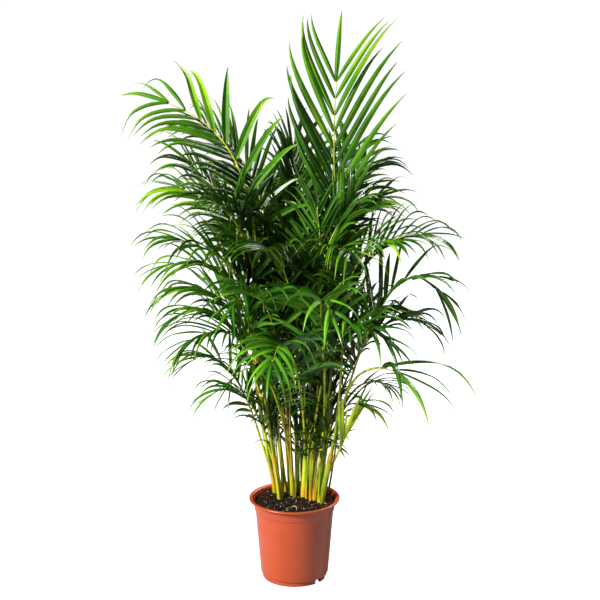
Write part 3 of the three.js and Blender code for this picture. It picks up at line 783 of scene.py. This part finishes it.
def add_shoot(surface, foot, cane_radius, draw):
    """A thin young stem beside a cane, with a few narrow leaves at its top."""
    turn = draw.uniform(0, math.tau)
    out = cane_radius + draw.uniform(0.002, 0.006)
    root = np.array((foot[0] + out * math.cos(turn), foot[1] + out * math.sin(turn),
                     SOIL_HEIGHT - 0.02))
    height = draw.uniform(*SHOOT_HEIGHT)
    outward = (root[:2] - np.array(CLUMP_MIDDLE)) * draw.uniform(0.6, 2.2) * height
    top = root + np.array((*outward, height)) + draw_vector(draw, 0.012)
    middle = mix(root, top, 0.5) + draw_vector(draw, 0.005)
    path = curve_through([root, middle, top], (0.0, 0.5, 1.0))
    tone = draw.random()
    add_tube(surface, path, height, lambda t: mix(SHOOT_RADIUS, SHOOT_TIP_RADIUS, t),
             STALK_SIDES, STALK_STEP, lambda t: (mix(0.2, 1.2, t), tone, 0.0))
    facing = draw.uniform(0, math.tau)
    sideways = np.array((math.cos(facing), math.sin(facing), 0.0))
    leaf_tone = draw.uniform(-0.05, 0.35)
    for i in range(SHOOT_LEAFLETS):
        share = i / (SHOOT_LEAFLETS - 1)
        t = mix(0.62, 1.0, share)
        sweep = math.radians(mix(*SHOOT_SWEEPS, share) + draw.gauss(0, 6))
        ahead = unit(path(min(t + 0.02, 1.0)) - path(min(t, 0.98)))
        side = sideways * (1 if i % 2 else -1)
        heading = ahead * math.cos(sweep) + side * math.sin(sweep)
        length = draw.uniform(*SHOOT_LEAFLET_LENGTH)
        leaflet = leaflet_from(path(t), heading, length, length * SHOOT_LEAFLET_WIDTH,
                               draw.uniform(0.3, 0.9))
        add_leaflet(surface, leaflet, draw, leaf_tone, SHOOT_LEAFLET_DEPTH, 1.0,
                    COMMON_LOOK["folds"][0], slot=1)


def draw_vector(draw, amount):
    """A small level step in a drawn direction."""
    return np.array([draw.gauss(0, amount), draw.gauss(0, amount), 0.0])


def add_stalk(surface, points, cane_radius, draw):
    """A stalk with a wide base, from inside its cane to its blade."""
    path, length = path_through(points)
    tone = draw.random()

    def radius_at(t):
        base = SHEATH_WIDTH * cane_radius * math.exp(-t * length / SHEATH_LENGTH)
        return max(mix(STALK_RADIUS, STALK_END_RADIUS, t), base)

    add_tube(surface, path, length, radius_at, STALK_SIDES, STALK_STEP,
             lambda t: (mix(0.35, 1.0, t), tone, 0.0))


# ---- pot

def inner_radius(height):
    """The radius of the pot's inside at a height."""
    t = (height - FOOT_HEIGHT) / (COLLAR_BOTTOM - FOOT_HEIGHT)
    body = mix(BODY_FOOT_RADIUS, BODY_TOP_RADIUS, min(t, 1)) - WALL
    above = max(height - COLLAR_BOTTOM, 0) / (POT_HEIGHT - RIM_THICKNESS - COLLAR_BOTTOM)
    return mix(body, COLLAR_RADIUS - WALL, above)


def rounded(corner_a, corner, corner_b, radius):
    """Points of a small round where an outline turns a corner."""
    a, c, b = (np.array(p, float) for p in (corner_a, corner, corner_b))
    enter = c + unit(a - c) * min(radius, np.linalg.norm(a - c) / 2)
    leave = c + unit(b - c) * min(radius, np.linalg.norm(b - c) / 2)
    return [(1 - t) ** 2 * enter + 2 * t * (1 - t) * c + t * t * leave
            for t in np.linspace(0, 1, ROUND_STEPS + 1)]


def pot_profile():
    """The pot's outline as (radius, height), from under its floor round to the top of it."""
    under = POT_HEIGHT - RIM_THICKNESS
    corners = [  # radius, height and round
        (0, FOOT_HEIGHT - FLOOR_THICKNESS, 0),
        (FOOT_RADIUS - FOOT_WIDTH, FOOT_HEIGHT - FLOOR_THICKNESS, SMALL_ROUND),
        (FOOT_RADIUS - FOOT_WIDTH, 0, SMALL_ROUND),
        (FOOT_RADIUS, 0, WIDE_ROUND),
        (FOOT_RADIUS, FOOT_HEIGHT - SMALL_ROUND, SMALL_ROUND),
        (BODY_FOOT_RADIUS, FOOT_HEIGHT + WIDE_ROUND, BODY_FOOT_ROUND),
        (BODY_TOP_RADIUS, COLLAR_BOTTOM, COLLAR_ROUND),
        (BODY_TOP_RADIUS + WALL, COLLAR_BOTTOM + COLLAR_SLOPE, COLLAR_ROUND),
        (COLLAR_RADIUS, under, SMALL_ROUND),
        (RIM_RADIUS, under, RIM_ROLL),
        (RIM_RADIUS, POT_HEIGHT, RIM_ROLL),
        (COLLAR_RADIUS + WIDE_ROUND, POT_HEIGHT, WIDE_ROUND),
        (inner_radius(under), under, WIDE_ROUND),
        (inner_radius(COLLAR_BOTTOM), COLLAR_BOTTOM, WIDE_ROUND),
        (inner_radius(FOOT_HEIGHT), FOOT_HEIGHT, WIDE_ROUND),
        (0, FOOT_HEIGHT, 0),
    ]
    points = [corners[0][:2]]
    for before, corner, after in zip(corners, corners[1:], corners[2:]):
        points.extend(rounded(before[:2], corner[:2], after[:2], corner[2]))
    points.append(corners[-1][:2])
    return points


def turned(name, profile, sides):
    """A profile of (radius, height) turned round the Z axis, with its ends on the axis."""
    skin = bmesh.new()
    rings = [circle(skin, radius, height, sides) for radius, height in profile[1:-1]]
    bottom = skin.verts.new((0, 0, profile[0][1]))
    top = skin.verts.new((0, 0, profile[-1][1]))
    for i in range(sides):
        j = (i + 1) % sides
        skin.faces.new((bottom, rings[0][j], rings[0][i]))
        skin.faces.new((top, rings[-1][i], rings[-1][j]))
        for low, high in zip(rings, rings[1:]):
            skin.faces.new((low[i], low[j], high[j], high[i]))
    smooth_outward(skin)
    return object_of(skin, name)


def notch_tool(angle):
    """An arched block that cuts one drainage notch through the foot ring."""
    half, foot = NOTCH_WIDTH / 2, FOOT_HEIGHT
    right = [(half, -0.001), (half, foot * 0.55), (half * 0.82, foot * 0.85), (half * 0.5, foot)]
    arch = right + [(-x, z) for x, z in reversed(right)]
    skin = bmesh.new()
    middle = FOOT_RADIUS + NOTCH_DEPTH / 3 - NOTCH_DEPTH / 2
    near = [skin.verts.new((x, middle - NOTCH_DEPTH / 2, z)) for x, z in arch]
    far = [skin.verts.new((x, middle + NOTCH_DEPTH / 2, z)) for x, z in arch]
    skin.faces.new(near)
    skin.faces.new(far[::-1])
    for i in range(len(arch)):
        j = (i + 1) % len(arch)
        skin.faces.new((near[j], near[i], far[i], far[j]))
    bmesh.ops.recalc_face_normals(skin, faces=skin.faces)
    tool = object_of(skin, "notch")
    tool.rotation_euler.z = math.radians(angle - 90)
    return tool


def cut_away(piece, tools):
    """Cuts the tools' forms out of a piece, and removes the tools."""
    for tool in tools:
        cut = piece.modifiers.new("cut", "BOOLEAN")
        cut.operation = "DIFFERENCE"
        cut.solver = "EXACT"
        cut.object = tool
    bpy.context.view_layer.update()
    evaluated = piece.evaluated_get(bpy.context.evaluated_depsgraph_get())
    mesh = bpy.data.meshes.new_from_object(evaluated)
    piece.modifiers.clear()
    piece.data = mesh
    for tool in tools:
        bpy.data.objects.remove(tool)


def make_pot():
    pot = turned("nursery_pot", pot_profile(), POT_SIDES)
    cut_away(pot, [notch_tool(angle) for angle in NOTCH_ANGLES])
    pot.data.set_sharp_from_angle(angle=math.radians(40))
    pot.data.materials.append(pot_material())
    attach(pot, "root")
    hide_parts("pot")


# ---- soil

def soil_bump(x, y):
    """The waves of the solid's top, whose lengths are in millimetres."""
    x, y = x * 1000, y * 1000
    return SOIL_BUMP * (math.sin(x / 13 + 1) * math.cos(y / 11) + 0.6 * math.sin((x - y) / 8))


def soil_top(x, y):
    """The soil's height at a place: the solid's unevenness, with crumbs on it."""
    crumbs = noise.noise(Vector((x, y, 0)) * 260) + 0.6 * noise.noise(Vector((x, y, 3)) * 520)
    lumps = noise.noise(Vector((x, y, 7)) * 70)
    edge = inner_radius(SOIL_HEIGHT)
    rim_fall = max(0.0, math.hypot(x, y) / edge - 0.86) * 0.030
    return SOIL_HEIGHT + soil_bump(x, y) + SOIL_GRAIN * crumbs + 0.002 * lumps - rim_fall


def make_soil():
    skin = bmesh.new()
    outer = inner_radius(SOIL_HEIGHT) - SOIL_GAP
    centre = skin.verts.new((0, 0, soil_top(0, 0)))
    rings = []
    for i in range(1, SOIL_RINGS + 1):
        radius = outer * i / SOIL_RINGS
        turns = [math.tau * (j + 0.5 * (i % 2)) / SOIL_SPOKES for j in range(SOIL_SPOKES)]
        places = [(radius * math.cos(a), radius * math.sin(a)) for a in turns]
        rings.append([skin.verts.new((x, y, soil_top(x, y))) for x, y in places])
    for height in (SOIL_HEIGHT - 0.006, COLLAR_BOTTOM, FOOT_HEIGHT + 0.0004):
        rings.append(circle(skin, inner_radius(height) - SOIL_GAP, height, SOIL_SPOKES))
    for j in range(SOIL_SPOKES):
        k = (j + 1) % SOIL_SPOKES
        skin.faces.new((centre, rings[0][j], rings[0][k]))
        for inner, out in zip(rings, rings[1:]):
            skin.faces.new((inner[j], out[j], out[k], inner[k]))
    skin.faces.new(rings[-1][::-1])
    smooth_outward(skin)
    soil = object_of(skin, "potting_soil")
    soil.data.materials.append(soil_material())
    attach(soil, "root")
    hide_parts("soil")


def place_on_soil(draw, margin):
    """A drawn place on the soil, away from the pot's wall by a margin."""
    radius = (inner_radius(SOIL_HEIGHT) - margin) * math.sqrt(draw.random())
    turn = draw.uniform(0, math.tau)
    return radius * math.cos(turn), radius * math.sin(turn)


def crumb(skin, centre, size, draw, slot):
    """A small uneven lump, squashed and turned at random."""
    made = bmesh.ops.create_icosphere(skin, subdivisions=1, radius=1.0)
    scale = Vector((draw.uniform(0.6, 1.5), draw.uniform(0.5, 1.0), draw.uniform(0.3, 0.8)))
    turn = draw.uniform(0, math.tau)
    tilt = draw.gauss(0, 0.4)
    turned_by = Euler((tilt, 0, turn)).to_matrix()
    for vertex in made["verts"]:
        vertex.co = centre + turned_by @ (vertex.co * scale * size * draw.uniform(0.75, 1.2))
    for face in {face for vertex in made["verts"] for face in vertex.link_faces}:
        face.material_index = slot


def make_crumbs():
    """Bark and perlite that lie on the soil."""
    draw = random.Random(11)
    skin = bmesh.new()
    for number in range(BARK_BITS + PERLITE_BITS):
        x, y = place_on_soil(draw, CRUMB_MARGIN)
        bark = number < BARK_BITS
        size = draw.uniform(*(BARK_SIZE if bark else PERLITE_SIZE))
        centre = Vector((x, y, soil_top(x, y) + size * 0.25))
        slot = draw.choice((0, 0, 1)) if bark else 2
        crumb(skin, centre, size, draw, slot)
    crumbs = object_of(skin, "soil_crumbs")
    for name, colour in (("dark_bark", (46, 28, 16)), ("light_bark", (104, 66, 38)),
                         ("perlite", (232, 226, 212))):
        crumbs.data.materials.append(bark_material(name, colour))
    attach(crumbs, "root")


def make_straws():
    """Bits of dry leaf base that lie on the soil."""
    draw = random.Random(23)
    surface = Surface()
    lay_straw(surface, *LONG_STRAW, 2.2 * STRAW_RADIUS)
    for _ in range(STRAW_BITS):
        x, y = place_on_soil(draw, STRAW_MARGIN)
        heading, length = draw.uniform(0, math.tau), draw.uniform(*STRAW_LENGTH)
        end = (x + length * math.cos(heading), y + length * math.sin(heading))
        lay_straw(surface, (x, y), end, STRAW_RADIUS)
    straws = surface.to_object("soil_straws", (straw_material(),))
    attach(straws, "root")


def lay_straw(surface, start, end, radius):
    """A thin bent strand between two places on the soil."""
    a, b = np.array(start), np.array(end)
    aside = np.array((a[1] - b[1], b[0] - a[0])) * 0.12
    places = [a, (a + b) / 2 + aside, b]
    points = [np.array((x, y, soil_top(x, y) + 1.2 * radius)) for x, y in places]
    length = np.linalg.norm(b - a)
    add_tube(surface, curve_through(points, (0.0, 0.5, 1.0)), length,
             lambda t: radius * mix(1.0, 0.5, t), 6, length / 6, lambda t: (t, 0.5, 0.0))


# ---- materials

class Nodes:
    """A short way to write a material's nodes."""

    def __init__(self, name):
        self.material = bpy.data.materials.new(name)
        self.material.use_nodes = True
        self.tree = self.material.node_tree
        self.shader = self.tree.nodes["Principled BSDF"]
        self.output = self.tree.nodes["Material Output"]

    def add(self, kind, **settings):
        node = self.tree.nodes.new(kind)
        for key, value in settings.items():
            setattr(node, key, value)
        return node

    def link(self, source, target):
        self.tree.links.new(source, target)

    def give(self, socket, value):
        """Sets a socket to a plain value, or links it."""
        if isinstance(value, (int, float, tuple)):
            socket.default_value = value
        else:
            self.link(value, socket)

    def attribute(self, name):
        return self.add("ShaderNodeAttribute", attribute_name=name).outputs["Fac"]

    def noise(self, scale, detail=2.0, roughness=0.5, stretch=(1, 1, 1)):
        """Noise in the object's own space, stretched along its axes."""
        space = self.add("ShaderNodeTexCoord").outputs["Object"]
        sized = self.add("ShaderNodeMapping")
        sized.inputs["Scale"].default_value = stretch
        self.link(space, sized.inputs["Vector"])
        texture = self.add("ShaderNodeTexNoise")
        texture.inputs["Scale"].default_value = scale
        texture.inputs["Detail"].default_value = detail
        texture.inputs["Roughness"].default_value = roughness
        self.link(sized.outputs["Vector"], texture.inputs["Vector"])
        return texture.outputs["Fac"]

    def ramp(self, factor, *stops):
        """Colours of 0 to 255 at places from 0 to 1: (place, colour)."""
        ramp = self.add("ShaderNodeValToRGB")
        elements = ramp.color_ramp.elements
        while len(elements) < len(stops):
            elements.new(0.5)
        for element, (place_on_ramp, colour) in zip(elements, stops):
            element.position = place_on_ramp
            element.color = linear(*colour)
        self.link(factor, ramp.inputs["Fac"])
        return ramp.outputs["Color"]

    def mask(self, factor, none, full):
        """Nothing up to one place of a factor, and all from another on."""
        return self.ramp(factor, (none, (0, 0, 0)), (full, (255, 255, 255)))

    def maths(self, operation, a, b=None, c=None, clamp=False):
        node = self.add("ShaderNodeMath", operation=operation, use_clamp=clamp)
        for socket, value in zip(node.inputs, (a, b, c)):
            if value is not None:
                self.give(socket, value)
        return node.outputs["Value"]

    def times(self, a, b):
        return self.maths("MULTIPLY", a, b)

    def blend(self, factor, base, colour):
        """A base with some of a colour of 0 to 255, or of another socket's, over it."""
        node = self.add("ShaderNodeMix", data_type="RGBA")
        over = linear(*colour) if isinstance(colour, tuple) else colour
        for number, value in ((0, factor), (6, base), (7, over)):
            self.give(node.inputs[number], value)
        return node.outputs[2]

    def bump(self, height, strength, distance):
        node = self.add("ShaderNodeBump")
        node.inputs["Strength"].default_value = strength
        node.inputs["Distance"].default_value = distance
        self.link(height, node.inputs["Height"])
        self.link(node.outputs["Normal"], self.shader.inputs["Normal"])
        return node.outputs["Normal"]

    def set(self, **values):
        """Gives the shader's inputs, which are named with _ for a blank."""
        for key, value in values.items():
            self.give(self.shader.inputs[key.replace("_", " ")], value)


LEAF_GREENS = ((0.0, (6, 26, 2)), (0.35, (22, 72, 6)),
               (0.7, (80, 142, 8)), (1.0, (166, 208, 18)))
# the young leaves' greens run paler and brighter than LEAF_GREENS: partly their own colour, partly
# painted light for the spears in the crown's shadow
YOUNG_GREENS = ((0.0, (6, 26, 2)), (0.35, (26, 80, 8)),
                (0.7, (170, 205, 44)), (1.0, (224, 240, 66)))
LEAF_GLOW = 0.34  # share of the light that goes through a leaf
YOUNG_GLOW = 0.45


def leaf_material(name, greens, glow_share):
    """Glossy green blade: veins along it, a paler ridge, painted shade at its root, and light
    showing through.
    """
    n = Nodes(name)
    tone = n.attribute("tone")
    along = n.attribute("along")
    around = n.attribute("around")
    mottle = n.noise(9.0, 3.0, 0.6)
    shade = n.maths("MULTIPLY_ADD", n.maths("SUBTRACT", mottle, 0.5), 0.7, tone)
    # painted shade along each leaflet: darker at its root, lighter towards its tip
    shade = n.maths("MULTIPLY_ADD", n.maths("SUBTRACT", along, 0.4), 0.3, shade)
    base = n.ramp(shade, *greens)
    ridge = n.maths("ABSOLUTE", n.maths("SUBTRACT", around, 1 / 3))
    ridge = n.maths("SUBTRACT", 1.0, n.times(ridge, 16.0), clamp=True)
    base = n.blend(n.times(ridge, 0.45), base, (150, 186, 70))
    deep = n.times(n.attribute("accent"), 0.6)
    base = n.blend(deep, base, n.ramp(shade, (0.0, (4, 34, 8)), (0.5, (12, 92, 16)),
                                      (1.0, (70, 176, 40))))
    veins = n.maths("SINE", n.times(around, 150.0))
    base = n.blend(n.maths("MULTIPLY_ADD", veins, 0.06, 0.06), base, (120, 170, 50))
    under = n.maths("GREATER_THAN", around, 0.72)
    base = n.blend(n.times(under, 0.35), base, (96, 140, 56))
    tip = n.mask(along, 0.86, 1.0)
    base = n.blend(n.times(tip, 0.5), base, (176, 178, 92))
    n.set(Base_Color=base, Roughness=0.25, Specular_IOR_Level=0.6)
    normal = n.bump(veins, 0.3, 0.00008)
    through = n.add("ShaderNodeBsdfTranslucent")
    glow = n.blend(0.6, base, (168, 214, 12))
    n.link(glow, through.inputs["Color"])
    n.link(normal, through.inputs["Normal"])
    both = n.add("ShaderNodeMixShader")
    both.inputs[0].default_value = glow_share
    n.link(n.shader.outputs["BSDF"], both.inputs[1])
    n.link(through.outputs["BSDF"], both.inputs[2])
    n.link(both.outputs["Shader"], n.output.inputs["Surface"])
    return n.material


def stem_material():
    """Waxy yellow-green stem: ochre patches and patches of painted shade low down, brown ring
    scars.
    """
    n = Nodes("palm_stem")
    along = n.attribute("along")
    tone = n.attribute("tone")
    scar = n.attribute("accent")
    streak = n.noise(90.0, 4.0, 0.7, (1, 1, 0.07))
    patch = n.noise(16.0, 3.0, 0.6, (1, 1, 0.35))
    green = n.ramp(along, (0.0, (190, 184, 26)), (0.3, (180, 194, 26)),
                   (0.7, (156, 184, 28)), (1.0, (196, 196, 40)))
    lines = n.mask(streak, 0.40, 0.60)
    green = n.blend(n.times(lines, 0.72), green, (66, 104, 6))
    ochre_place = n.mask(patch, 0.46, 0.62)
    lowness = n.maths("SUBTRACT", 1.0, n.times(along, 1.3), clamp=True)
    ochre = n.times(ochre_place, n.maths("MULTIPLY_ADD", lowness, 0.85, 0.12))
    colour = n.blend(ochre, green, (222, 138, 10))
    # painted shade: near-black patches that grow stronger towards the foot, where the stems shade
    # each other
    deep = n.mask(n.noise(34.0, 4.0, 0.7, (1, 1, 0.10)), 0.52, 0.60)
    below = n.maths("SUBTRACT", 1.25, along, clamp=True)
    deep = n.times(deep, n.times(below, 0.85))
    colour = n.blend(deep, colour, (44, 44, 8))
    ruddy = n.times(n.maths("GREATER_THAN", tone, 0.86), 0.6)
    colour = n.blend(ruddy, colour, (156, 96, 34))
    brown = n.times(scar, 0.4)
    colour = n.blend(brown, colour, (120, 82, 36))
    n.set(Base_Color=colour, Roughness=0.42)
    n.bump(streak, 0.2, 0.0006)
    return n.material


def pot_material():
    """Terracotta-coloured plastic, faintly mottled and scuffed."""
    n = Nodes("pot_plastic")
    mottle = n.noise(22.0, 4.0, 0.6)
    speck = n.noise(400.0, 2.0, 0.5)
    colour = n.ramp(mottle, (0.3, (172, 66, 28)), (0.7, (180, 71, 32)))
    colour = n.blend(n.times(speck, 0.10), colour, (140, 48, 20))
    rough = n.maths("MULTIPLY_ADD", mottle, 0.10, 0.27)
    n.set(Base_Color=colour, Roughness=rough, Specular_IOR_Level=0.6)
    n.bump(speck, 0.08, 0.0004)
    return n.material


def soil_material():
    n = Nodes("soil_mix")
    fine = n.noise(330.0, 4.0, 0.7)
    broad = n.noise(60.0, 3.0, 0.6)
    shade = n.maths("MULTIPLY_ADD", broad, 0.5, n.times(fine, 0.6))
    colour = n.ramp(shade, (0.3, (6, 4, 3)), (0.55, (18, 12, 8)),
                    (0.75, (60, 38, 24)))
    n.set(Base_Color=colour, Roughness=0.92, Specular_IOR_Level=0.15)
    n.bump(fine, 0.9, 0.002)
    return n.material


def bark_material(name, colour):
    n = Nodes(name)
    grain = n.noise(420.0, 3.0, 0.6)
    dark = tuple(channel * 0.45 for channel in colour)
    shade = n.ramp(grain, (0.3, dark), (0.7, colour))
    n.set(Base_Color=shade, Roughness=0.85, Specular_IOR_Level=0.2)
    n.bump(grain, 0.5, 0.0006)
    return n.material


def straw_material():
    n = Nodes("straw")
    grain = n.noise(300.0, 3.0, 0.6, (1, 1, 0.3))
    shade = n.ramp(grain, (0.3, (150, 122, 76)), (0.7, (214, 196, 150)))
    n.set(Base_Color=shade, Roughness=0.7)
    n.bump(grain, 0.3, 0.0004)
    return n.material


# ---- camera, light, floor

def add_camera():
    camera = linked("camera", bpy.data.cameras.new("camera"))
    camera.location = CAMERA_PLACE
    camera.rotation_euler = (math.radians(90 - CAMERA_PITCH), 0, 0)
    camera.data.sensor_width = SENSOR_WIDTH
    camera.data.lens = FOCAL_PIXELS / PICTURE_WIDTH * SENSOR_WIDTH
    bpy.context.scene.camera = camera


def add_area_light(name, at, towards, size, power):
    light = linked(name, bpy.data.lights.new(name, "AREA"))
    light.location = at
    aim = Vector(towards) - Vector(at)
    light.rotation_euler = aim.to_track_quat("-Z", "Y").to_euler()
    light.data.size = size
    light.data.energy = power


def show_to_camera(tree, shown, unseen):
    """A strength that differs between what the camera sees and what lights the scene."""
    path = tree.nodes.new("ShaderNodeLightPath")
    strength = tree.nodes.new("ShaderNodeMapRange")
    strength.inputs["To Min"].default_value = unseen
    strength.inputs["To Max"].default_value = shown
    tree.links.new(path.outputs["Is Camera Ray"], strength.inputs["Value"])
    return strength.outputs["Result"]


def set_world():
    world = bpy.data.worlds.new("studio")
    world.use_nodes = True
    background = world.node_tree.nodes["Background"]
    background.inputs["Color"].default_value = (1, 1, 1, 1)
    strength = show_to_camera(world.node_tree, WORLD_SHOWN, WORLD_LIGHT)
    world.node_tree.links.new(strength, background.inputs["Strength"])
    bpy.context.scene.world = world
    bpy.context.scene.view_settings.view_transform = "Standard"


def add_floor():
    mesh = bpy.data.meshes.new("floor")
    half = FLOOR_SIZE / 2
    mesh.from_pydata([(-half, -half, 0), (half, -half, 0), (half, half, 0), (-half, half, 0)],
                     [], [(0, 1, 2, 3)])
    floor = linked("floor", mesh)
    n = Nodes("floor_white")
    n.set(Base_Color=(0.4, 0.4, 0.4, 1), Roughness=0.9, Emission_Color=(1, 1, 1, 1))
    n.link(show_to_camera(n.tree, 1.0, 0.0), n.shader.inputs["Emission Strength"])
    mesh.materials.append(n.material)


# ---- assembly


def main():
    add_camera()
    for light in LIGHTS:
        add_area_light(*light)
    set_world()
    add_floor()
    leaf = leaf_material("palm_leaf", LEAF_GREENS, LEAF_GLOW)
    young = leaf_material("young_palm_leaf", YOUNG_GREENS, YOUNG_GLOW)
    stem = stem_material()
    fronds = sorted(name for name in NODES if name.startswith("frond_"))
    canes = sorted(name for name in NODES if name.startswith("cane_"))
    blades = [grow_blade(node, leaf, young, stem) for node in fronds]
    for node, height in zip(canes, CANE_HEIGHTS):
        grow_cane(node, height, blades, (stem, leaf))
    make_pot()
    make_soil()
    make_crumbs()
    make_straws()


main()
